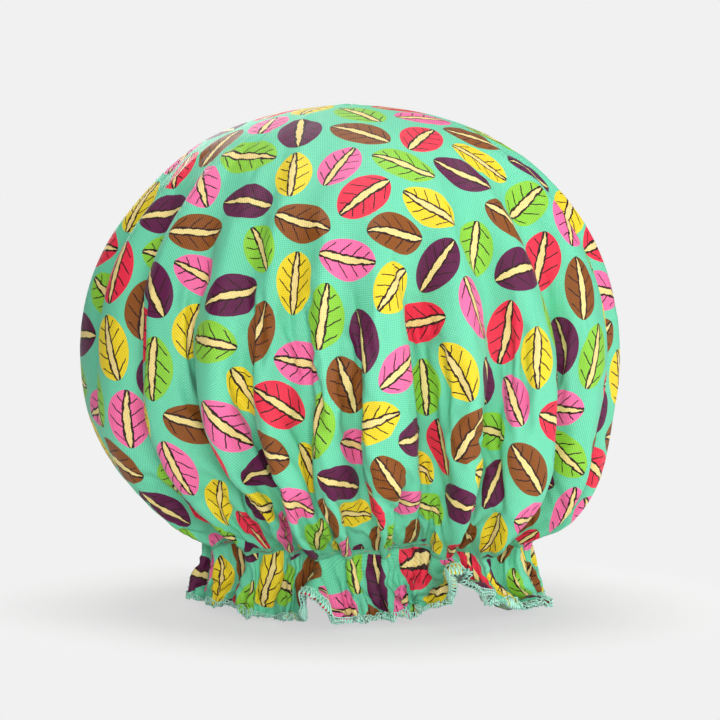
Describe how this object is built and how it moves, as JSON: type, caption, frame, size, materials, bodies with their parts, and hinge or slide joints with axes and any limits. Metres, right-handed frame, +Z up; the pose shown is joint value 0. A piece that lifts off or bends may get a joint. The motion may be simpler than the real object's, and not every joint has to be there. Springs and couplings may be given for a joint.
{
  "type": "shower cap",
  "caption": "Frilled shower cap of printed cloth over a waterproof film lining, gathered on a sewn-in elastic, with an overlocked edge.",
  "frame": {"origin": "below the middle of the crown, on the surface that the frill's edge stands on", "axes": "+Z up through the crown, -Y towards the viewer of the picture, +X to that viewer's right"},
  "size_m": [0.2124, 0.2132, 0.202],
  "materials": {
    "printed_cloth": "matt woven",
    "lining_film": "satin film",
    "elastic": "matt braided",
    "sewing_thread": "soft spun"
  },
  "bodies": {
    "root": {"outer_fabric": "printed_cloth", "waterproof_lining": "lining_film", "elastic_band": "elastic", "elastic_lap_tack": "sewing_thread", "elastic_needle_thread": "sewing_thread", "elastic_bobbin_thread": "sewing_thread", "hem_needle_thread": "sewing_thread", "hem_upper_looper_thread": "sewing_thread", "hem_lower_looper_thread": "sewing_thread"}
  },
  "joints": []
}
